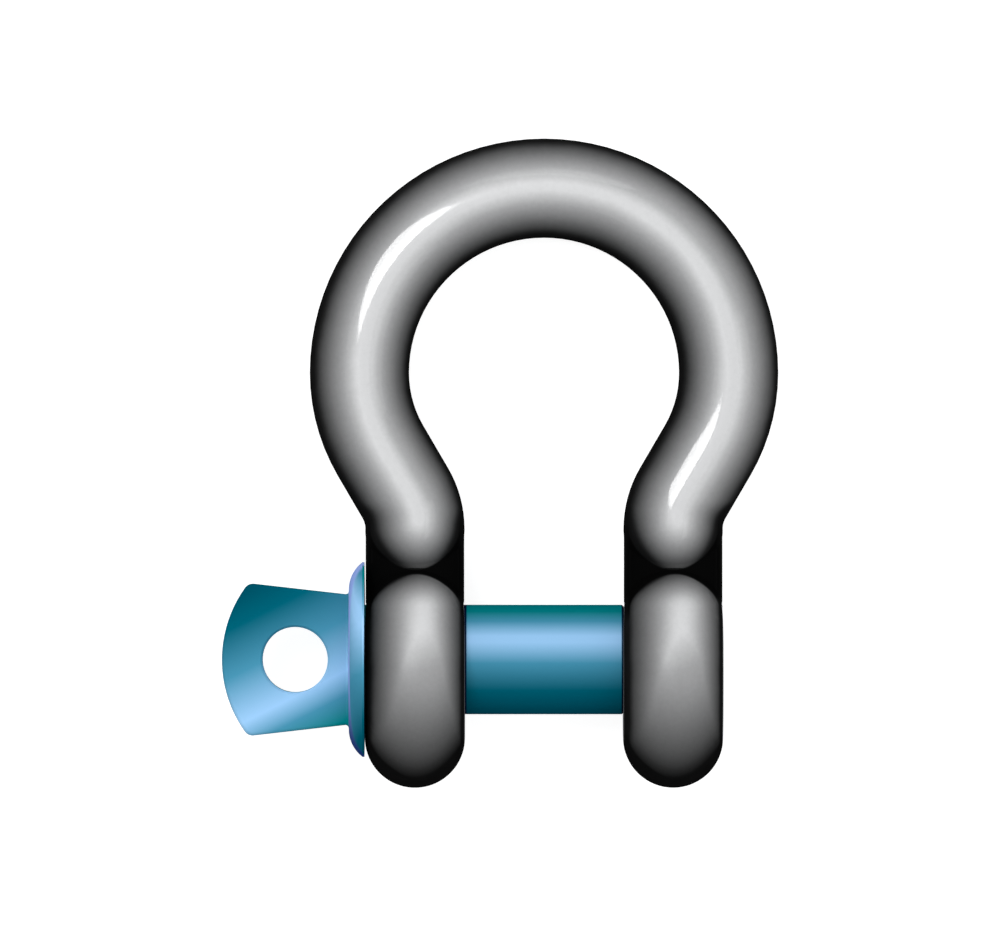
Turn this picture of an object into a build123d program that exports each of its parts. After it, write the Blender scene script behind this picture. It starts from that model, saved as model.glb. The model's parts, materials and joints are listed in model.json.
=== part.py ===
from build123d import *
import math
import os

# Screw pin bow shackle of 25 mm bar, in millimetres, with Z up.
# X runs along the pin, with the pin's head at -X, and the origin is on the pin's axis, midway
# between the ears. The shackle lies on its side, as it comes to rest on a bench: on the round
# edges of its two ears and on the crown of the bow, which points to +Y and dips a little.

# Bow: round bar, bent and forged with an ear at each end
BAR_DIAMETER = 25.4
BOW_INSIDE_DIAMETER = 69.0
PIN_TO_BOW_CENTRE = 73.3
SLOPE_LENGTH = 12.5
NECK_RADIUS = 18.2
LEG_LENGTH = 0.5
JAW_WIDTH = 40.4

# Ears: thick discs with a full round edge, set a little low on the pin's axis
EAR_THICKNESS = 25.6
EAR_DIAMETER = 57.2
EAR_DROP = 4.2

# Waist between the bar's rounded end and the ear
WAIST_DEPTH = 18.4
WAIST_INSET = 0.1
BAR_END_DIP = 4.2
CREASE_FILLET = 0.8

# Screw pin: one forging with a plain shank, a threaded end, a collar and a flat head
PIN_DIAMETER = 28.0
PIN_CLEARANCE = 0.4
THREAD_DIAMETER = 28.0
THREAD_DEPTH = 1.7
THREAD_CLEARANCE = 0.2
THREAD_RUNOUT = 0.3
PIN_END_RECESS = 0.5
SEAT_GAP = 0.1
HOLE_CHAMFER = 0.3

# Collar that seats on the ear
COLLAR_DIAMETER = 49.8
COLLAR_THICKNESS = 4.0
COLLAR_FACE_DIAMETER = 35.8
COLLAR_LAND = 0.5

# Flat head with an eye for a spike or a lashing
HEAD_LENGTH = 32.4
HEAD_ROOT_WIDTH = 33.2
HEAD_FLARE = 6.5
HEAD_END_RADIUS = 31.6
HEAD_CORNER_RADIUS = 2.4
HEAD_THICKNESS = 12.0
HEAD_EDGE_RADIUS = 0.9
HEAD_ROOT_FILLET = 0.8
EYE_DIAMETER = 16.7
EYE_CHAMFER = 0.5
EYE_TO_TIP = 18.7

# Places that follow from the sizes
BAR_RADIUS = BAR_DIAMETER / 2
BOW_RADIUS = (BOW_INSIDE_DIAMETER + BAR_DIAMETER) / 2
EAR_RADIUS = EAR_DIAMETER / 2
EAR_TOP_Y = EAR_RADIUS - EAR_DROP
BAR_END_Y = EAR_TOP_Y + BAR_RADIUS - BAR_END_DIP
EAR_X = (JAW_WIDTH + EAR_THICKNESS) / 2
EAR_INNER_X = JAW_WIDTH / 2
EAR_OUTER_X = EAR_INNER_X + EAR_THICKNESS
CROWN_Y = PIN_TO_BOW_CENTRE + BOW_RADIUS
COLLAR_INNER_X = -(EAR_OUTER_X + SEAT_GAP)
COLLAR_OUTER_X = COLLAR_INNER_X - COLLAR_THICKNESS
TIP_X = COLLAR_OUTER_X - HEAD_LENGTH


def side_bends():
    """Slope in degrees of the bow's sides, and the shoulder radius that brings them to the ears."""
    inward = BOW_RADIUS - EAR_X
    down = PIN_TO_BOW_CENTRE - BAR_END_Y - LEG_LENGTH
    slope = 2 * math.atan2(inward, down + SLOPE_LENGTH)
    both_radii = (down - SLOPE_LENGTH * math.cos(slope)) / math.sin(slope)
    return math.degrees(slope), both_radii - NECK_RADIUS


def rest_tilt():
    """Dip of the bow's plane when the ears and the crown lie on one flat surface."""
    return math.degrees(math.asin((EAR_RADIUS - BAR_RADIUS) / (CROWN_Y + EAR_DROP)))


def side_curves():
    """Centreline of the bow's right half, from the crown down to the bar's rounded nose."""
    angle, shoulder_radius = side_bends()
    crown = JernArc(start=(0, CROWN_Y), tangent=(1, 0), radius=BOW_RADIUS, arc_size=-90)
    shoulder = JernArc(start=crown @ 1, tangent=crown % 1, radius=shoulder_radius, arc_size=-angle)
    slope = Line(shoulder @ 1, shoulder @ 1 + (shoulder % 1) * SLOPE_LENGTH)
    neck = JernArc(start=slope @ 1, tangent=slope % 1, radius=NECK_RADIUS, arc_size=angle)
    leg = Line(neck @ 1, (EAR_X, BAR_END_Y))
    return [crown, shoulder, slope, neck, leg]


def bar():
    """Round bar swept along both halves of the centreline."""
    right = Curve() + side_curves()
    left = mirror(right, Plane.YZ)
    path = Wire(right.edges() + left.edges())
    section = Plane(origin=path @ 0, z_dir=path % 0) * Circle(BAR_RADIUS)
    return sweep(section, path=path)


def waist():
    """Rounded nose of the bar above the right ear, and the flatter waist that joins them."""
    half_ball = Sphere(BAR_RADIUS, arc_size1=-90, arc_size2=0, align=None)
    nose = Pos(EAR_X, BAR_END_Y) * Rot(X=-90) * half_ball
    foot_y = EAR_TOP_Y - EAR_THICKNESS / 2
    half_width = min(BAR_RADIUS, EAR_THICKNESS / 2) - WAIST_INSET
    section = Ellipse(half_width, WAIST_DEPTH / 2)
    base = Plane(origin=(EAR_X, foot_y, 0), x_dir=(1, 0, 0), z_dir=(0, 1, 0))
    body = nose + extrude(base * section, BAR_END_Y - foot_y)
    return fillet(body.edges().filter_by(GeomType.BSPLINE), CREASE_FILLET)


def ear():
    """Thick disc with a full round edge, its axis along X."""
    half = EAR_THICKNESS / 2
    rim = EAR_RADIUS - half
    outline = Polyline((half, rim), (half, 0), (-half, 0), (-half, rim))
    edge = CenterArc((0, rim), half, 0, 180)
    return revolve(make_face([outline, edge]), Axis.X)


def hole(radius, wall, chamfer):
    """Cutter for a hole along X through a wall, chamfered at both faces."""
    half = wall / 2
    run = 1.0
    profile = make_face(Polyline(
        (-half - run, 0),
        (-half - run, radius + chamfer + run),
        (-half + chamfer, radius),
        (half - chamfer, radius),
        (half + run, radius + chamfer + run),
        (half + run, 0),
        close=True,
    ))
    return revolve(profile, Axis.X)


def bow():
    """The whole bow: bar, waists and ears, and the two holes for the pin."""
    end = waist() + Pos(EAR_X, -EAR_DROP, 0) * ear()
    body = bar() + end + mirror(end, Plane.YZ)
    plain_hole = hole(PIN_DIAMETER / 2 + PIN_CLEARANCE, EAR_THICKNESS, HOLE_CHAMFER)
    tapped_hole = hole(THREAD_DIAMETER / 2 + THREAD_CLEARANCE, EAR_THICKNESS, HOLE_CHAMFER)
    return body - Pos(-EAR_X, 0, 0) * plain_hole - Pos(EAR_X, 0, 0) * tapped_hole


def pin_shaft():
    """Collar, shank and threaded end, turned about X, the thread at its root diameter."""
    shank_radius = PIN_DIAMETER / 2
    root_radius = THREAD_DIAMETER / 2 - THREAD_DEPTH
    step = shank_radius - root_radius
    end_x = EAR_OUTER_X - PIN_END_RECESS
    thread_x = EAR_INNER_X - THREAD_RUNOUT - max(shank_radius - THREAD_DIAMETER / 2, 0)
    face_radius = COLLAR_FACE_DIAMETER / 2
    rim_radius = COLLAR_DIAMETER / 2
    land_x = COLLAR_INNER_X - COLLAR_LAND
    dome = TangentArc((COLLAR_OUTER_X, face_radius), (land_x, rim_radius), tangent=(0, 1))
    outline = Polyline(
        (land_x, rim_radius),
        (COLLAR_INNER_X, rim_radius),
        (COLLAR_INNER_X, shank_radius),
        (thread_x, shank_radius),
        (thread_x + step, root_radius),
        (end_x - THREAD_DEPTH, root_radius),
        (end_x, root_radius - THREAD_DEPTH),
        (end_x, 0),
        (COLLAR_OUTER_X, 0),
        (COLLAR_OUTER_X, face_radius),
    )
    return revolve(make_face([dome, outline]), Axis.X)


def pin_head():
    """Flat flared head with a round end and an eye, its faces in the bow's plane."""
    root_x = COLLAR_INNER_X - COLLAR_THICKNESS / 2
    past_x = TIP_X - HEAD_LENGTH
    widening = math.tan(math.radians(HEAD_FLARE))
    root_half = HEAD_ROOT_WIDTH / 2 - (root_x - COLLAR_OUTER_X) * widening
    past_half = HEAD_ROOT_WIDTH / 2 + (COLLAR_OUTER_X - past_x) * widening
    wedge = Polygon(
        (root_x, root_half),
        (past_x, past_half),
        (past_x, -past_half),
        (root_x, -root_half),
        align=None,
    )
    plate = wedge & Pos(TIP_X + HEAD_END_RADIUS, 0) * Circle(HEAD_END_RADIUS)
    plate = fillet(plate.vertices().group_by(Axis.X)[0], HEAD_CORNER_RADIUS)
    head = extrude(plate, HEAD_THICKNESS / 2, both=True)
    faces = head.faces().sort_by(Axis.Z)
    head = fillet(faces[0].edges() + faces[-1].edges(), HEAD_EDGE_RADIUS)
    eye = hole(EYE_DIAMETER / 2, HEAD_THICKNESS, EYE_CHAMFER)
    return head - Pos(TIP_X + EYE_TO_TIP, 0, 0) * Rot(Y=90) * eye


def screw_pin():
    """The whole pin: turned shaft and flat head in one piece, with a fillet where they meet."""
    pin = pin_shaft() + pin_head()
    root = pin.edges().filter_by_position(Axis.X, COLLAR_OUTER_X - 0.01, COLLAR_OUTER_X + 0.01)
    root = [edge for edge in root if edge.length < 2 * HEAD_ROOT_WIDTH]
    return fillet(root, HEAD_ROOT_FILLET)


os.makedirs("parts", exist_ok=True)
lying = Rot(X=-rest_tilt())
export_step(lying * bow(), "parts/bow.step")
export_step(lying * screw_pin(), "parts/screw_pin.step")
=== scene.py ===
import json
import math

import bmesh
import bpy
from mathutils import Matrix, Vector


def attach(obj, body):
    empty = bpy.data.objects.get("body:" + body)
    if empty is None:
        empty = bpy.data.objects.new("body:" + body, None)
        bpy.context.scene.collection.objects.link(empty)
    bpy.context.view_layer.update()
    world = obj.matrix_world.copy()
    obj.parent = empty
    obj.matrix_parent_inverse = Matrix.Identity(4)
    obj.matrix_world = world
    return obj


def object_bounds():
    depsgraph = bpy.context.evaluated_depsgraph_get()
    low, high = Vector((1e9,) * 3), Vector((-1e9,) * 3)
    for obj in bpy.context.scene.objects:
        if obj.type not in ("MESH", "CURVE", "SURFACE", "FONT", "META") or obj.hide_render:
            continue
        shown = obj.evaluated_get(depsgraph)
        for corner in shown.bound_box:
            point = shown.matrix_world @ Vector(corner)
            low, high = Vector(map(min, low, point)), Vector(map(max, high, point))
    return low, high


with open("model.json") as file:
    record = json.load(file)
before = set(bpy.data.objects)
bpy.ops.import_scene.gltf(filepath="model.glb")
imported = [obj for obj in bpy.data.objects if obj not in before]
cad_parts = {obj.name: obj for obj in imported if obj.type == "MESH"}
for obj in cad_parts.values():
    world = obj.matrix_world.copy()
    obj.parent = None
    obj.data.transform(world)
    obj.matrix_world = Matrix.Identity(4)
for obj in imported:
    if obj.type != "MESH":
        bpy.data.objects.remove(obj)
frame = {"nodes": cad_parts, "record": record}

bl_info = {
    "name": "Screw Pin Bow Shackle",
    "version": (1, 0, 0),
    "blender": (4, 5, 0),
    "location": "View3D > Sidebar > Shackle",
    "description": "Finishes, threads and studio for a forged bow shackle with a screw pin",
    "category": "Object",
}

# The frame is in metres, with X along the pin and the shackle lying on its side.
# The bow's own frame is turned about X by the rest tilt: x along the pin, y towards the crown
# and n out of the bow's plane. Heights are measured along y from the pin's axis.
CAD_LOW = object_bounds()[0]
EYE_AXIS = next(m for m in frame["record"]["mounts"] if m["name"] == "head_eye")["axis"]
REST_TILT = math.atan2(EYE_AXIS[1], EYE_AXIS[2])
MM = 0.001

# Noises: cells in a metre, detail and roughness
STEEL_WEAR = (90.0, 4.0, 0.55)
STEEL_GRAIN = (900.0, 3.0, 0.6)
STEEL_MOTTLE = (260.0, 5.0, 0.65)
STEEL_WAVES = (55.0, 2.0, 0.55)
TURNED_RINGS = (2600.0, 2.0, 0.55)
COAT_WEAR = (120.0, 4.0, 0.55)
COAT_GRAIN = (1400.0, 3.0, 0.6)

# Painted shade of the steel. A slope is 0 on the line where the painted shade is lightest and
# 1 where the surface turns away, and the ear's cap, a painted shade darker towards the ear's
# foot, follows the height on the ear.
PAINTED_LIGHT_WAY = (0.075, 0.02, 0.997)
BAR_PAINTED_SHADES = (
    (0.0, 1.0), (0.1, 0.99), (0.2, 0.82), (0.3, 0.65), (0.4, 0.55), (0.5, 0.44), (0.6, 0.33),
    (0.7, 0.22), (0.8, 0.125), (0.86, 0.062), (0.9, 0.028), (0.94, 0.012), (1.0, 0.008),
)
EAR_SPAN = 1.2
EAR_PAINTED_SHADES = (
    (0.0, 1.0), (0.08, 0.98), (0.15, 0.91), (0.25, 0.77), (0.33, 0.63), (0.41, 0.51),
    (0.48, 0.41), (0.575, 0.3), (0.64, 0.23), (0.71, 0.165), (0.775, 0.105), (0.815, 0.045),
    (0.84, 0.013), (0.93, 0.006),
)
EAR_DARKEST = 0.006
EAR_CAP_PAINTED_SHADES = (
    (0.0, 0.0), (0.05, 0.008), (0.1, 0.045), (0.2, 0.145), (0.35, 0.267), (0.48, 0.37),
    (0.605, 0.467), (0.733, 0.55), (0.85, 0.75), (1.0, 1.05),
)
EAR_CAP_FOOT = -32 * MM
EAR_CAP_RISE = 40 * MM
EAR_CAP_BEND = 60.0
EAR_CAP_SOFTNESS = 0.08

# Panels of painted light on the nose and the ear, and the waist between them painted black as
# the shade of its crease; the leans and the shift set the panels' lightest line a little
# sideways. Each pair is where a mask starts and where it is full.
PANEL_CORNER = 0.5
PANEL_RIM = (0.97, 1.02)
NOSE_FLARE = (35 * MM, 45 * MM)
NOSE_BLEND = (41 * MM, 34 * MM)
NOSE_LEAN = 0.1
EAR_SHIFT = 0.3 * MM
EAR_LEAN = 0.175
WAIST_TOP = (37 * MM, 32 * MM)
WAIST_FOOT = (9 * MM, 13 * MM)
WAIST_SIDES = (0.85, 0.99)
WAIST_SIDE_LIGHT = 0.8

# Unevenness of the steel, and where its film, metal and machined faces lie
UNEVEN = 0.06
GRAIN_SHADE = 0.14
MOTTLE_SHADE = 1.8
MOTTLED_WAYS = (0.55, 0.2)
METAL_SLOPES = (0.35, 0.75)
FILM_SLOPES = (0.32, 0.42)
STEEL_ROUGHNESS_SPREAD = 0.2
FLAT_WAYS = (0.982, 0.993)
FLAT_RADIUS = 19 * MM
# Share of the machined colour taken off the ears' faces in the jaw, as painted shade
JAW_PAINTED_SHADE = 0.75
BORE_MARGIN = 0.5 * MM
RING_SHADE = 0.25
MACHINED_METAL = 0.6

# Satin gloss of upright faces that face the viewer
SATIN_WAYS = (0.65, 0.4)
SATIN_FACING = (0.45, 0.2)
SATIN_ROUGHNESS = 0.3

# The pin's coat, with its painted light, painted highlights and painted shadow
SEAT_MARGIN = 0.2 * MM
SHANK_TURN = 0.02
SHANK_SHADE = 0.18
# Reach of the painted shadow on the shank beside each ear
EAR_SHADOW_REACH = (0.6 * MM, 0.2 * MM)
# Line and length of the painted highlight band across the head's flat faces
HEAD_SLANT = (0.451, -0.893)
HEAD_SLANT_LENGTH = 50 * MM
HEAD_WAYS = (0.15, 0.4)
# Where the painted highlight on the collar's rim lies
RIM_RADII = (17.4 * MM, 17.8 * MM)
RIM_OUTWARD = (0.5, 0.3)
RIM_UPRIGHT = (0.2, 0.32)
RIM_HEIGHTS = (-24 * MM, -2 * MM)
COAT_ROUGHNESS_SPREAD = 0.12

# Threads: widths of a ridge at its base and at its crest, and how it stays inside its place
PIN_RIDGE_WIDTHS = (3.3 * MM, 0.45 * MM)
EAR_RIDGE_WIDTHS = (2.9 * MM, 0.35 * MM)
RIDGE_SINK = 0.05 * MM
RIDGE_CLEARANCE = 0.3 * MM
PIN_RIDGE_RUNOUT = 3.4 * MM
EAR_RIDGE_INSET = 1.4 * MM
EAR_RIDGE_RUNOUT = 1.0 * MM
STEPS_A_TURN = 48
TAPER = 1.6
SAME_PLACE = 1e-7

# Studio: lamps by their half angles, tilts from the camera's axis and turns about it, in degrees
LAMP_DISTANCE = 2.0
LIT_HEIGHT = 50 * MM
TOP_SPREAD = (35, 35)
KEY_SPREAD = (20, 20)
KEY_TILT = 52
KEY_TURN = 90
FILL_SPREAD = (25, 25)
FILL_TILT = 48
FILL_DIP = 0.2
GLINT_SPREAD = (7.1, 15)
GLINT_TILT = 22
GLINT_TURN = 140
ALONG_AXIS = 0.01
FLOOR_RADIUS = 12.0
FLOOR_GAP = 0.02 * MM
SKY_HEIGHT = 0.7
SENSOR_WIDTH = 36.0
CLIP = (0.1, 20.0)


def length(name, default, description):
    """A length property in metres, given in millimetres."""
    return bpy.props.FloatProperty(
        name=name, description=description, default=default * MM, unit="LENGTH", precision=5
    )


def colour(name, default, description):
    """A colour property in linear light."""
    return bpy.props.FloatVectorProperty(
        name=name, description=description, default=default, size=3, subtype="COLOR", min=0, max=1
    )


def amount(name, default, description):
    """A plain number property."""
    return bpy.props.FloatProperty(name=name, description=description, default=default)


class ShackleSizes(bpy.types.PropertyGroup):
    """The places on the forging that the finishes and the threads follow."""

    bar_radius: length("Bar radius", 12.7, "Half the bar's diameter")
    ear_x: length("Ear place", 33.0, "Distance of each ear's middle plane from the jaw's middle")
    ear_drop: length("Ear drop", 4.2, "How far the ear's centre lies below the pin's axis")
    ear_split: length("Ear split", 23.4, "Height of the line between the waist and the ear")
    panel_half: length("Half panel", 11.5, "Half the width of the bright nose and ear panels")
    nose_centre: length("Nose centre", 33.5, "Height where the nose's outline rounds off")
    nose_reach: length("Nose reach", 10.6, "How far below that the nose's outline ends")
    nose_fade: length("Nose fade", 35.9, "Height where the nose starts to darken")
    nose_fade_reach: length("Nose fade reach", 14.7, "How far below that it would be black")
    ear_shoulder: length("Ear shoulder", 12.8, "Height where the ear's outline rounds off")
    ear_fade: length("Ear fade", 13.4, "Height where the ear starts to darken to the waist")
    ear_reach: length("Ear reach", 9.1, "How far above its shoulder the ear's outline ends")
    ear_foot: length("Ear foot", 20.5, "Depth below the pin where the ear's outline rounds off")
    ear_foot_reach: length("Ear foot reach", 10.7, "How far below its foot the outline ends")
    jaw_half: length("Half jaw", 20.2, "Distance of each ear's inner face from the jaw's middle")
    collar_inner: length("Collar seat", 45.9, "Distance of the collar's inner face")
    collar_outer: length("Collar face", 49.9, "Distance of the collar's outer face")
    pitch: length("Pitch", 3.5, "Thread pitch")
    crest: length("Crest radius", 14.0, "Radius of the pin thread's crests")
    root: length("Root radius", 12.3, "Radius of the pin thread's root")
    bore: length("Tapped bore", 14.2, "Radius of the bore that carries the ear's thread")
    thread_start: length("Thread start", 22.2, "Where the thread starts beside the jaw")
    thread_end: length("Thread end", 45.2, "Where the thread ends inside the ear")


class BowFinish(bpy.types.PropertyGroup):
    """Forged steel with painted shade, bright along its middle and dark where it turns away."""

    # The steel's unshaded colour, and the darkest end of its painted shade, in the waist and on
    # the edges that turn away, which also darkens the turned rings
    bright: colour("Unshaded steel", (0.55, 0.555, 0.562), "The bright line of the bar and the ears")
    scale: colour("Painted shade and rings", (0.002, 0.002, 0.002), "The waist and the edges of the bar")
    machined: colour("Machined steel", (0.42, 0.425, 0.44), "The ears' flat faces and the holes")
    roughness: amount("Roughness", 0.42, "How matt the steel is")
    metal: amount("Metal", 0.1, "How metallic the worn face is")
    coat: amount("Oil film", 1.0, "Strength of the clear film of oil on the worn face")
    satin: amount("Satin flanks", 0.7, "Gloss of the flanks where they face the viewer")
    coat_roughness: amount("Film roughness", 0.07, "How blurred the film's glints are")
    dents: length("Dents", 0.16, "Height of the hammered waves")
    grain: length("Grain", 0.012, "Height of the fine grain")


class PinFinish(bpy.types.PropertyGroup):
    """Blue-green coat of the pin, with painted light and shade in its colours."""

    # The coat's tones stand for painted light and shade, set by how the surface turns
    sky: colour("Lit coat", (0.315, 0.565, 0.86), "Where the coat turns to the light")
    mid: colour("Coat", (0.06, 0.27, 0.41), "The coat's middle tone")
    deep: colour("Deep coat", (0.0, 0.11, 0.165), "Where the coat turns away from the light")
    night: colour("Shaded coat", (0.0, 0.07, 0.11), "The coat's darkest edge")
    green: colour("Green coat", (0.0, 0.20, 0.22), "The coat's greener edge")
    # Painted highlight on the collar's rim, and painted shade where it turns away below
    rim: colour("Collar rim", (0.30, 0.42, 0.84), "The collar's edge")
    low_rim: colour("Low rim", (0.016, 0.046, 0.2), "The collar's edge where it turns away")
    # Painted shadow on the shank where each ear meets it
    painted_ear_shadow: colour("Painted ear shadow", (0.0, 0.004, 0.026), "The dark ring that each ear leaves")
    roughness: amount("Roughness", 0.4, "How matt the coat is")
    metal: amount("Metal", 0.0, "How metallic the coat is")
    satin: amount("Satin sides", 0.5, "Gloss of the upright faces where they face the viewer")
    grain: length("Grain", 0.01, "Height of the coat's fine grain")


class Studio(bpy.types.PropertyGroup):
    """Camera, lamps, surroundings and floor."""

    lens: amount("Lens", 800.0, "Focal length in millimetres on a 36 mm sensor")
    field: length("Field width", 255.65, "Width of the view at the bow's plane")
    centre_x: length("View centre along the pin", -11.25, "Middle of the view along the pin")
    centre_y: length("View centre along the bow", 49.98, "Middle of the view towards the crown")
    sky_level: amount("Sky", 0.4, "Brightness of the grey surroundings overhead")
    horizon_level: amount("Horizon", 0.8, "Brightness of the surroundings at the horizon")
    top_level: amount("Top lamp", 0.55, "Brightness of the broad lamp above")
    key_level: amount("Key lamp", 1.6, "Brightness of the lamp towards the crown")
    fill_level: amount("Fill lamp", 1.0, "Brightness of the soft lamp on the far side")
    glint_level: amount("Glint lamp", 11.0, "Brightness of the small lamp of the glints")
    floor_colour: colour("Floor", (0.5, 0.5, 0.5), "Colour of the floor")
    floor_glow: amount("Floor glow", 0.8, "How much the floor is lifted to white where seen")


class Value:
    """A number socket on which an expression adds its Math nodes."""

    def __init__(self, finish, socket):
        self.finish = finish
        self.socket = socket

    def _math(self, operation, *values, clamp=False):
        settings = {"operation": operation, "use_clamp": clamp}
        return self.finish.node("ShaderNodeMath", settings, dict(enumerate(values))).value()

    def __add__(self, other):
        return self._math("ADD", self, other)

    __radd__ = __add__

    def __sub__(self, other):
        return self._math("SUBTRACT", self, other)

    def __rsub__(self, other):
        return self._math("SUBTRACT", other, self)

    def __mul__(self, other):
        return self._math("MULTIPLY", self, other)

    def __truediv__(self, other):
        return self._math("DIVIDE", self, other)

    def __abs__(self):
        return self._math("ABSOLUTE", self)

    def root(self):
        return self._math("SQRT", self.most(0.0))

    def softly_least(self, other, reach):
        return self._math("SMOOTH_MIN", self, other, reach)

    def most(self, other):
        return self._math("MAXIMUM", self, other)

    def below(self, other):
        return self._math("LESS_THAN", self, other)

    def clamped(self):
        return self._math("ADD", self, 0.0, clamp=True)

    def fade(self, low, high):
        """0 at low and 1 at high, with a soft start and end. low may be the larger."""
        ends = (0.0, 1.0) if low < high else (1.0, 0.0)
        inputs = {"Value": self, "From Min": min(low, high), "From Max": max(low, high)}
        inputs.update({"To Min": ends[0], "To Max": ends[1]})
        settings = {"interpolation_type": "SMOOTHSTEP"}
        return self.finish.node("ShaderNodeMapRange", settings, inputs).value()


class Node:
    """A node that was added to a finish."""

    def __init__(self, finish, node):
        self.finish = finish
        self.node = node

    def value(self, name=0):
        return Value(self.finish, self.node.outputs[name])

    def out(self, name=0):
        return self.node.outputs[name]


class Finish:
    """A material, and the methods that add nodes to it."""

    def __init__(self, name):
        self.material = bpy.data.materials.new(name)
        self.material.use_nodes = True
        self.tree = self.material.node_tree
        self.tree.nodes.clear()

    def node(self, kind, settings=None, inputs=None):
        node = self.tree.nodes.new(kind)
        for key, value in (settings or {}).items():
            setattr(node, key, value)
        for key, value in (inputs or {}).items():
            self.feed(node.inputs[key], value)
        return Node(self, node)

    def feed(self, socket, value):
        """Links a socket to another, or gives it a constant."""
        source = value.socket if isinstance(value, Value) else value
        if isinstance(source, bpy.types.NodeSocket):
            self.tree.links.new(source, socket)
        else:
            socket.default_value = source

    def split(self, vector):
        """The three numbers of a vector."""
        parts = self.node("ShaderNodeSeparateXYZ", {}, {"Vector": vector})
        return [parts.value(axis) for axis in "XYZ"]

    def ramp(self, value, stops):
        """Colour or grey that follows a value through stops."""
        made = self.node("ShaderNodeValToRGB", {}, {"Fac": value})
        elements = made.node.color_ramp.elements
        while len(elements) > 1:
            elements.remove(elements[-1])
        elements[0].position = stops[0][0]
        elements[0].color = rgba(stops[0][1])
        for place, shade in stops[1:]:
            elements.new(place).color = rgba(shade)
        return made.out("Color")

    def level(self, value, stops):
        """Number that follows a value through stops."""
        grey = self.ramp(value, stops)
        return self.node("ShaderNodeSeparateColor", {}, {"Color": grey}).value("Red")

    def mixed(self, factor, first, second):
        """Colour between two colours."""
        made = self.node("ShaderNodeMix", {"data_type": "RGBA"}, {"Factor": factor}).node
        sockets = [socket for socket in made.inputs if socket.type == "RGBA"]
        for socket, value in zip(sockets, (first, second)):
            linked = isinstance(value, bpy.types.NodeSocket)
            self.feed(socket, value if linked else rgba(value))
        return next(socket for socket in made.outputs if socket.type == "RGBA")

    def noise(self, place, scale, detail, roughness):
        inputs = {"Vector": place, "Scale": scale, "Detail": detail, "Roughness": roughness}
        return self.node("ShaderNodeTexNoise", {}, inputs).value()

    def bump(self, height, distance, normal=None):
        """Normal raised by a height between 0 and 1."""
        inputs = {"Height": height, "Distance": distance, "Strength": 1.0}
        if normal is not None:
            inputs["Normal"] = normal
        return self.node("ShaderNodeBump", {}, inputs).out("Normal")

    def surface(self, inputs, changes, share):
        """Ends the finish with two shaders that differ by a few changes, and their mix."""
        plain = self.node("ShaderNodeBsdfPrincipled", {}, inputs)
        changed = self.node("ShaderNodeBsdfPrincipled", {}, {**inputs, **changes})
        both = self.node("ShaderNodeMixShader", {}, {0: share, 1: plain.out(), 2: changed.out()})
        self.node("ShaderNodeOutputMaterial", {}, {"Surface": both.out()})
        return self.material


def rgba(shade):
    """Colour with an alpha, from a grey or three numbers."""
    if isinstance(shade, (int, float)):
        return (shade, shade, shade, 1.0)
    return (*shade, 1.0)


def bow_places(finish):
    """Place of the surface in the bow's own frame, and the numbers of its place and direction."""
    coordinates = finish.node("ShaderNodeTexCoord")
    turned = []
    for source in ("Object", "Normal"):
        inputs = {"Vector": coordinates.out(source), "Rotation": (REST_TILT, 0.0, 0.0)}
        turned.append(finish.node("ShaderNodeMapping", {"vector_type": "POINT"}, inputs).out())
    return turned[0], finish.split(turned[0]), finish.split(turned[1])


def from_axis(first, second):
    """Distance from an axis, from the two numbers across it."""
    return (first * first + second * second).root()


def satin_share(finish, way):
    """Share of satin gloss, on upright faces where they face the viewer."""
    aside = finish.node("ShaderNodeLayerWeight", {}, {"Blend": 0.5}).value("Facing")
    return abs(way[2]).fade(*SATIN_WAYS) * aside.fade(*SATIN_FACING)


def bar_slope(way):
    """Slope of the surface from the painted shade's lightest line, a little off the top of the
    bar.
    """
    towards = way[0] * PAINTED_LIGHT_WAY[0] + way[1] * PAINTED_LIGHT_WAY[1] + abs(way[2]) * PAINTED_LIGHT_WAY[2]
    return (1.0 - towards * towards).root()


def oval(side, fall):
    """Distance from a panel's middle, 1 on its rounded outline, a little more at its corners."""
    return (side * side + fall * fall + side * side * fall * fall * PANEL_CORNER).root()


def nose_panel(sizes, y, beside):
    """Place in the nose's outline, and its slope for the painted shade, both 0 in the middle."""
    half = sizes.panel_half + y.fade(*NOSE_FLARE) * (sizes.bar_radius - sizes.panel_half)
    side = beside / half
    edge = oval(side, (sizes.nose_centre - y).most(0.0) / sizes.nose_reach)
    side = side - (1.0 - side * side) * NOSE_LEAN
    return edge, oval(side, (sizes.nose_fade - y).most(0.0) / sizes.nose_fade_reach)


def ear_panel(sizes, y, beside):
    """Place in the ear's outline, and its slope for the painted shade, both 0 in the middle."""
    side = (beside - EAR_SHIFT) / sizes.panel_half
    foot = (-sizes.ear_foot - y).most(0.0) / sizes.ear_foot_reach
    edge = oval(side, (y - sizes.ear_shoulder).most(0.0) / sizes.ear_reach + foot)
    side = side - (1.0 - side * side) * EAR_LEAN
    return edge, oval(side, (y - sizes.ear_fade).most(0.0) / sizes.ear_reach + foot)


def ear_painted_shade(finish, slope, y, beside):
    """Painted shade of the ear, which darkens to its sides and its foot."""
    tone = finish.level((slope / EAR_SPAN).clamped(), EAR_PAINTED_SHADES)
    height = (y - beside * beside * EAR_CAP_BEND - EAR_CAP_FOOT) / EAR_CAP_RISE
    cap = finish.level(height.clamped(), EAR_CAP_PAINTED_SHADES)
    return tone.softly_least(cap, EAR_CAP_SOFTNESS).most(EAR_DARKEST)


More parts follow.
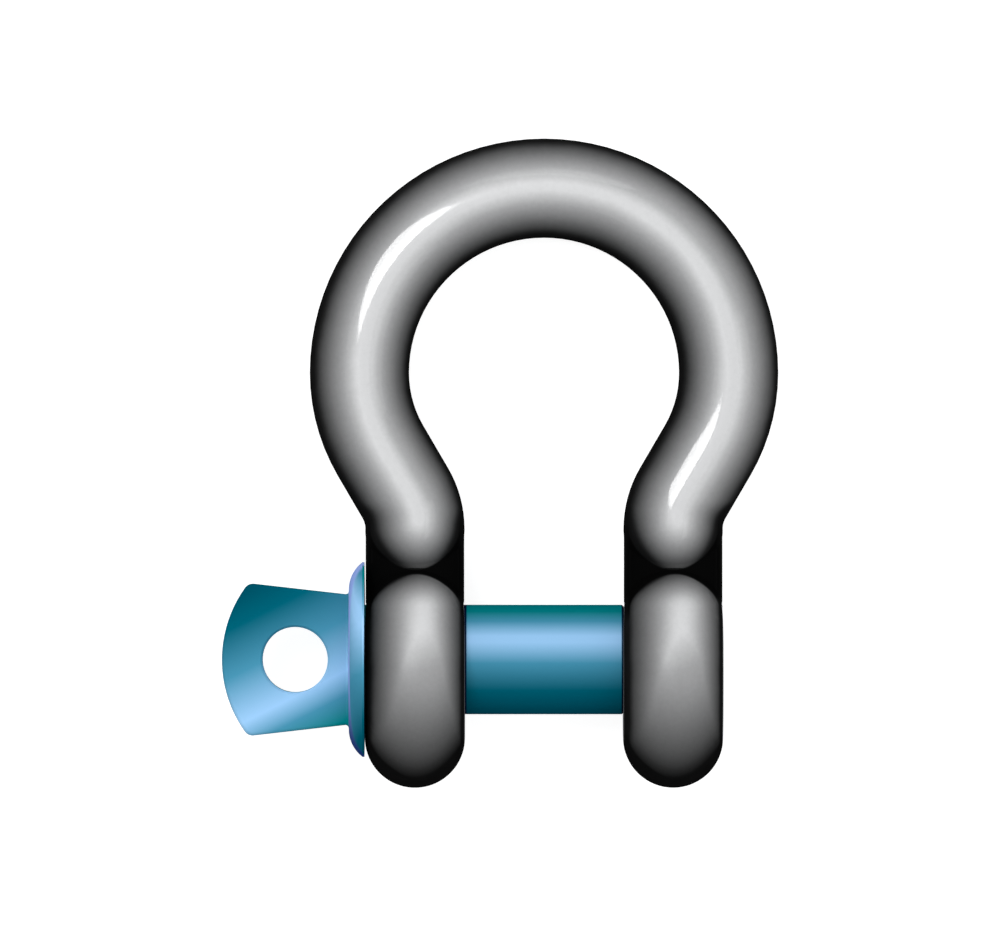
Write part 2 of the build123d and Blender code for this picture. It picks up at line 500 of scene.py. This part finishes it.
def machined_share(sizes, at, way, side, on_ear, from_pin):
    """Where the steel is machined: the ears' flat faces, with painted shade in the jaw, and the
    holes.
    """
    from_hub = from_axis(at[1] + sizes.ear_drop, at[2])
    flat = abs(way[0]).fade(*FLAT_WAYS) * from_hub.below(FLAT_RADIUS)
    in_jaw = (way[0] * side).below(0.0)
    flat = flat * (1.0 - in_jaw * JAW_PAINTED_SHADE)
    return flat.most(from_pin.below(sizes.bore + BORE_MARGIN) * on_ear)


def bow_steel(sizes, look):
    """Forged steel with painted shade: bright along the middle of the bar and the ears, dark
    where it turns away.
    """
    finish = Finish("bow_steel")
    place, at, way = bow_places(finish)
    x, y, n = at
    side = 1.0 - x.below(0.0) * 2.0
    beside = x - side * sizes.ear_x

    # The nose and the ear have panels of painted light, and between their outlines the waist is
    # painted black as the shade in its crease
    nose_edge, nose_slope = nose_panel(sizes, y, beside)
    ear_edge, ear_slope = ear_panel(sizes, y, beside)
    on_ear = y.below(sizes.ear_split)
    on_nose = y.fade(*NOSE_BLEND)
    waist = nose_edge.fade(*PANEL_RIM) * ear_edge.fade(*PANEL_RIM)
    waist = waist * y.fade(*WAIST_TOP) * y.fade(*WAIST_FOOT)
    # Painted black shade in the crease, lighter on the waist's flat sides
    black = waist * (1.0 - abs(way[0]).fade(*WAIST_SIDES) * WAIST_SIDE_LIGHT)

    wear = finish.noise(place, *STEEL_WEAR)
    grain = finish.noise(place, *STEEL_GRAIN)
    mottle = finish.noise(place, *STEEL_MOTTLE)
    uneven = (wear - 0.5) * UNEVEN
    # Painted shade, darker as the surface turns away; wear, grain and mottle vary it at random
    slope = bar_slope(way)
    slope = slope + on_nose * (nose_slope - slope)
    tone = finish.level((slope + uneven).clamped(), BAR_PAINTED_SHADES)
    tone = tone + on_ear * (ear_painted_shade(finish, ear_slope + uneven, y, beside) - tone)
    slope = slope + on_ear * (ear_slope - slope)
    tone = tone * (1.0 - GRAIN_SHADE / 2 + grain * GRAIN_SHADE)
    mottled = abs(way[2]).fade(*MOTTLED_WAYS)
    tone = tone * (1.0 + mottled * (mottle - 0.5) * MOTTLE_SHADE) * (1.0 - black)

    from_pin = from_axis(y, n)
    cut = machined_share(sizes, at, way, side, on_ear, from_pin)
    ring_place = finish.node("ShaderNodeCombineXYZ", {}, {"X": from_pin, "Y": x}).out()
    rings = finish.noise(ring_place, *TURNED_RINGS)
    # The forged colour runs from the darkest painted shade to the steel's unshaded colour
    forged = finish.mixed(tone.clamped(), look.scale, look.bright)
    turned = finish.mixed(1.0 - RING_SHADE + rings * RING_SHADE, look.scale, look.machined)

    worn = 1.0 - slope.fade(*METAL_SLOPES)
    film = (1.0 - slope.fade(*FILM_SLOPES)) * (1.0 - waist) * (1.0 - on_ear)
    normal = finish.bump(finish.noise(place, *STEEL_WAVES), look.dents)
    inputs = {
        "Base Color": finish.mixed(cut, forged, turned),
        "Metallic": (worn * look.metal).most(cut * MACHINED_METAL),
        "Roughness": look.roughness + (wear - 0.5) * STEEL_ROUGHNESS_SPREAD,
        "Specular IOR Level": 0.0,
        "Coat Weight": film * look.coat,
        "Coat Roughness": look.coat_roughness,
        "Normal": finish.bump(grain, look.grain, normal),
    }
    changes = {
        "Specular IOR Level": look.satin,
        "Coat Weight": 0.0,
        "Roughness": SATIN_ROUGHNESS,
    }
    return finish.surface(inputs, changes, satin_share(finish, way) * (1.0 - cut))


def pin_coat(sizes, look):
    """Blue-green coat, painted lighter where it turns to the light, with a painted highlight on
    the collar's rim.
    """
    finish = Finish("pin_coat")
    place, (x, y, n), way = bow_places(finish)
    past_seat = x.below(SEAT_MARGIN - sizes.collar_inner)
    on_shank = 1.0 - past_seat
    on_head = x.below(-sizes.collar_outer)
    on_collar = past_seat * (1.0 - on_head)

    # Painted light: round surfaces are lighter where they turn a little towards the crown and
    # darker where they turn away, and the head's flat faces get a painted highlight band along a
    # slanting line
    round_painted_light = finish.ramp(
        way[1] * 0.5 + 0.5 - on_shank * SHANK_TURN,
        (
            (0.0, look.night), (0.2, look.deep), (0.45, look.mid), (0.64, look.sky),
            (0.7, look.sky), (0.83, look.mid), (0.92, look.green), (1.0, look.green),
        ),
    )
    flat_painted_light = finish.ramp(
        (x * HEAD_SLANT[0] + y * HEAD_SLANT[1]) / HEAD_SLANT_LENGTH + 1.0,
        (
            (0.0, look.night), (0.14, look.deep), (0.36, look.mid), (0.594, look.sky),
            (0.706, look.mid), (0.82, look.green), (1.0, look.green),
        ),
    )
    tone = finish.mixed(on_head * abs(way[2]).fade(*HEAD_WAYS), round_painted_light, flat_painted_light)
    tone = finish.mixed(on_shank * SHANK_SHADE, tone, look.night)
    # Painted shadow on the shank where each ear meets it
    from_ear = abs(abs(x) - sizes.jaw_half)
    tone = finish.mixed(on_shank * from_ear.fade(*EAR_SHADOW_REACH), tone, look.painted_ear_shadow)
    # Painted highlight on the collar's rim, turning to painted shade towards its bottom
    rim = on_collar * way[0].fade(*RIM_OUTWARD) * (1.0 - abs(way[2]).fade(*RIM_UPRIGHT))
    rim = rim * from_axis(y, n).fade(*RIM_RADII)
    rim_painted_light = finish.mixed(y.fade(*RIM_HEIGHTS), look.low_rim, look.rim)

    wear = finish.noise(place, *COAT_WEAR)
    inputs = {
        "Base Color": finish.mixed(rim, tone, rim_painted_light),
        "Metallic": look.metal,
        "Roughness": look.roughness + (wear - 0.5) * COAT_ROUGHNESS_SPREAD,
        "Specular IOR Level": 0.0,
        "Normal": finish.bump(finish.noise(place, *COAT_GRAIN), look.grain),
    }
    changes = {"Specular IOR Level": look.satin, "Roughness": SATIN_ROUGHNESS}
    return finish.surface(inputs, changes, satin_share(finish, way))


def new_object(name, bm, material):
    """Object at the origin that takes over a bmesh."""
    mesh = bpy.data.meshes.new(name)
    bm.to_mesh(mesh)
    bm.free()
    mesh.materials.append(material)
    made = bpy.data.objects.new(name, mesh)
    bpy.context.scene.collection.objects.link(made)
    return made


def thread_ridge(name, radii, span, widths, pitch, phase, material, body):
    """Helical ridge round the pin's axis, tapering to nothing at both ends of its span.

    The radii and the widths are those of its base and its crest.
    """
    base, crest = radii
    start, end = span
    base_half, crest_half = (width / 2 for width in widths)
    turns = (end - start) / pitch
    steps = round(turns * STEPS_A_TURN)
    bm = bmesh.new()
    outline = [
        (start - base_half, base),
        (start - crest_half, crest),
        (start + crest_half, crest),
        (start + base_half, base),
    ]
    corners = [bm.verts.new((x, 0.0, radius)) for x, radius in outline]
    face = bm.faces.new(corners)
    turned = Matrix.Rotation(phase, 3, "X")
    bmesh.ops.rotate(bm, verts=corners, cent=(0, 0, 0), matrix=turned)
    bmesh.ops.spin(
        bm,
        geom=corners + list(face.edges) + [face],
        cent=(0, 0, 0),
        axis=(1, 0, 0),
        dvec=((end - start) / steps, 0, 0),
        angle=turns * 2 * math.pi,
        steps=steps,
        use_duplicate=False,
    )
    for vert in bm.verts:
        radius = math.hypot(vert.co.y, vert.co.z)
        turns_in = min(vert.co.x - start, end - vert.co.x) / pitch
        share = max(0.0, min(1.0, turns_in * TAPER))
        wanted = base + (radius - base) * share
        vert.co.y *= wanted / radius
        vert.co.z *= wanted / radius
    bmesh.ops.remove_doubles(bm, verts=bm.verts, dist=SAME_PLACE)
    bmesh.ops.recalc_face_normals(bm, faces=bm.faces)
    # on a helix the recalculation can choose the inside, so the volume settles which way is out
    if bm.calc_volume(signed=True) < 0.0:
        bmesh.ops.reverse_faces(bm, faces=bm.faces)
    piece = new_object(name, bm, material)
    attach(piece, body)
    return piece


class SHACKLE_OT_finish_bow(bpy.types.Operator):
    """Give the forged bow its steel"""

    bl_idname = "shackle.finish_bow"
    bl_label = "Finish bow"

    def execute(self, context):
        steel = bow_steel(context.scene.shackle_sizes, context.scene.shackle_bow)
        bow = frame["nodes"]["bow"]
        bow.data.materials.clear()
        bow.data.materials.append(steel)
        return {"FINISHED"}


class SHACKLE_OT_finish_pin(bpy.types.Operator):
    """Give the screw pin its coat"""

    bl_idname = "shackle.finish_pin"
    bl_label = "Finish pin"

    def execute(self, context):
        coat = pin_coat(context.scene.shackle_sizes, context.scene.shackle_pin)
        pin = frame["nodes"]["screw_pin"]
        pin.data.materials.clear()
        pin.data.materials.append(coat)
        return {"FINISHED"}


class SHACKLE_OT_add_threads(bpy.types.Operator):
    """Add the pin's thread and the thread in the tapped ear"""

    bl_idname = "shackle.add_threads"
    bl_label = "Add threads"

    def execute(self, context):
        sizes = context.scene.shackle_sizes
        coat = bpy.data.materials["pin_coat"]
        steel = bpy.data.materials["bow_steel"]
        radii = (sizes.root - RIDGE_SINK, sizes.crest)
        span = (sizes.thread_start, sizes.thread_end - PIN_RIDGE_RUNOUT)
        outer = thread_ridge(
            "pin_thread", radii, span, PIN_RIDGE_WIDTHS, sizes.pitch, 0.0, coat, "pin_body"
        )

        # The ear's ridge lies midway between the turns of the pin's
        radii = (sizes.bore + RIDGE_SINK, sizes.root + RIDGE_CLEARANCE)
        span = (sizes.thread_start + EAR_RIDGE_INSET, sizes.thread_end - EAR_RIDGE_RUNOUT)
        phase = 2 * math.pi * (EAR_RIDGE_INSET / sizes.pitch - 0.5)
        inner = thread_ridge(
            "ear_thread", radii, span, EAR_RIDGE_WIDTHS, sizes.pitch, phase, steel, "bow_body"
        )
        return {"FINISHED"}


def bow_point(x, y, n):
    """Point in the frame from its place in the bow's own frame."""
    return Matrix.Rotation(-REST_TILT, 3, "X") @ Vector((x, y, n))


def leaning(tilt, turn):
    """Direction at a tilt from the camera's axis, turned about it from the pin's direction."""
    tilt = math.radians(tilt)
    turn = math.radians(turn)
    across = math.sin(tilt)
    return Vector((across * math.cos(turn), across * math.sin(turn), math.cos(tilt)))


def lamp(name, towards, spread, level):
    """Oval lamp that shines on the shackle from a direction in the bow's own frame.

    Of the two half angles of its spread, as the shackle sees it, the second is measured
    towards the camera's axis and the first across it.
    """
    across, along = (LAMP_DISTANCE * math.tan(math.radians(half)) for half in spread)
    data = bpy.data.lights.new(name, "AREA")
    data.shape = "ELLIPSE"
    data.size = 2 * across
    data.size_y = 2 * along
    data.energy = level * math.pi * math.pi * across * along
    made = bpy.data.objects.new(name, data)
    bpy.context.scene.collection.objects.link(made)
    back = bow_point(*towards).normalized()
    side = bow_point(0, 0, 1).cross(back)
    side = side.normalized() if side.length > ALONG_AXIS else Vector((1, 0, 0))
    turned = Matrix((side, back.cross(side), back)).transposed().to_4x4()
    place = bow_point(0, LIT_HEIGHT, 0) + back * LAMP_DISTANCE
    made.matrix_world = Matrix.Translation(place) @ turned


class SHACKLE_OT_build_studio(bpy.types.Operator):
    """Build the floor, the surroundings, the lamps and the camera"""

    bl_idname = "shackle.build_studio"
    bl_label = "Build studio"

    def execute(self, context):
        studio = context.scene.shackle_studio
        self.floor(studio)
        self.surroundings(context, studio)
        self.lamps(studio)
        self.camera(context, studio)
        return {"FINISHED"}

    def lamps(self, studio):
        beside = leaning(FILL_TILT, 0) - Vector((0, FILL_DIP, 0))
        lamp("top_lamp", leaning(0, 0), TOP_SPREAD, studio.top_level)
        lamp("key_lamp", leaning(KEY_TILT, KEY_TURN), KEY_SPREAD, studio.key_level)
        lamp("fill_lamp", beside, FILL_SPREAD, studio.fill_level)
        lamp("glint_lamp", leaning(GLINT_TILT, GLINT_TURN), GLINT_SPREAD, studio.glint_level)

    def floor(self, studio):
        finish = Finish("studio_floor")
        plain = finish.node("ShaderNodeBsdfDiffuse", {}, {"Color": rgba(studio.floor_colour)})
        ray = finish.node("ShaderNodeLightPath")
        seen = ray.value("Is Camera Ray") + ray.value("Is Glossy Ray")
        seen = (seen + ray.value("Is Transmission Ray")).clamped()
        glow = finish.node("ShaderNodeEmission", {}, {"Strength": seen * studio.floor_glow})
        both = finish.node("ShaderNodeAddShader", {}, {0: plain.out(), 1: glow.out()})
        finish.node("ShaderNodeOutputMaterial", {}, {"Surface": both.out()})
        bm = bmesh.new()
        bmesh.ops.create_circle(bm, cap_ends=True, segments=96, radius=FLOOR_RADIUS)
        bmesh.ops.translate(bm, verts=bm.verts, vec=(0, 0, CAD_LOW.z - FLOOR_GAP))
        new_object("studio_floor", bm, finish.material)

    def surroundings(self, context, studio):
        world = bpy.data.worlds.new("studio_sky")
        world.use_nodes = True
        tree = world.node_tree
        background = tree.nodes["Background"]
        towards = tree.nodes.new("ShaderNodeTexCoord")
        height = tree.nodes.new("ShaderNodeSeparateXYZ")
        shade = tree.nodes.new("ShaderNodeMapRange")
        shade.inputs["To Min"].default_value = studio.horizon_level
        shade.inputs["To Max"].default_value = studio.sky_level
        shade.inputs["From Max"].default_value = SKY_HEIGHT
        tree.links.new(towards.outputs["Generated"], height.inputs["Vector"])
        tree.links.new(height.outputs["Z"], shade.inputs["Value"])
        tree.links.new(shade.outputs["Result"], background.inputs["Strength"])
        background.inputs["Color"].default_value = rgba(1.0)
        context.scene.world = world

    def camera(self, context, studio):
        data = bpy.data.cameras.new("studio_camera")
        data.lens = studio.lens
        data.sensor_width = SENSOR_WIDTH
        data.clip_start, data.clip_end = CLIP
        made = bpy.data.objects.new("studio_camera", data)
        context.scene.collection.objects.link(made)
        away = studio.field * studio.lens / SENSOR_WIDTH
        place = Matrix.Translation((studio.centre_x, studio.centre_y, away))
        made.matrix_world = Matrix.Rotation(-REST_TILT, 4, "X") @ place
        context.scene.camera = made


class SHACKLE_PT_panel(bpy.types.Panel):
    """Lists the shackle's steps"""

    bl_idname = "SHACKLE_PT_panel"
    bl_label = "Bow shackle"
    bl_space_type = "VIEW_3D"
    bl_region_type = "UI"
    bl_category = "Shackle"

    def draw(self, context):
        for step in STEPS:
            self.layout.operator(step.bl_idname)


GROUPS = {
    "shackle_sizes": ShackleSizes,
    "shackle_bow": BowFinish,
    "shackle_pin": PinFinish,
    "shackle_studio": Studio,
}
STEPS = (
    SHACKLE_OT_finish_bow,
    SHACKLE_OT_finish_pin,
    SHACKLE_OT_add_threads,
    SHACKLE_OT_build_studio,
)


def register():
    for kind in (*GROUPS.values(), *STEPS, SHACKLE_PT_panel):
        bpy.utils.register_class(kind)
    for name, group in GROUPS.items():
        setattr(bpy.types.Scene, name, bpy.props.PointerProperty(type=group))


def unregister():
    for name in GROUPS:
        delattr(bpy.types.Scene, name)
    for kind in reversed((*GROUPS.values(), *STEPS, SHACKLE_PT_panel)):
        bpy.utils.unregister_class(kind)


def main():
    """Builds the shackle's looks on the frame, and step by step."""
    register()
    bpy.context.scene.view_settings.view_transform = "Standard"
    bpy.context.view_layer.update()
    bpy.ops.shackle.finish_bow()
    bpy.ops.shackle.finish_pin()
    bpy.ops.shackle.add_threads()
    bpy.ops.shackle.build_studio()


if __name__ == "__main__":
    main()
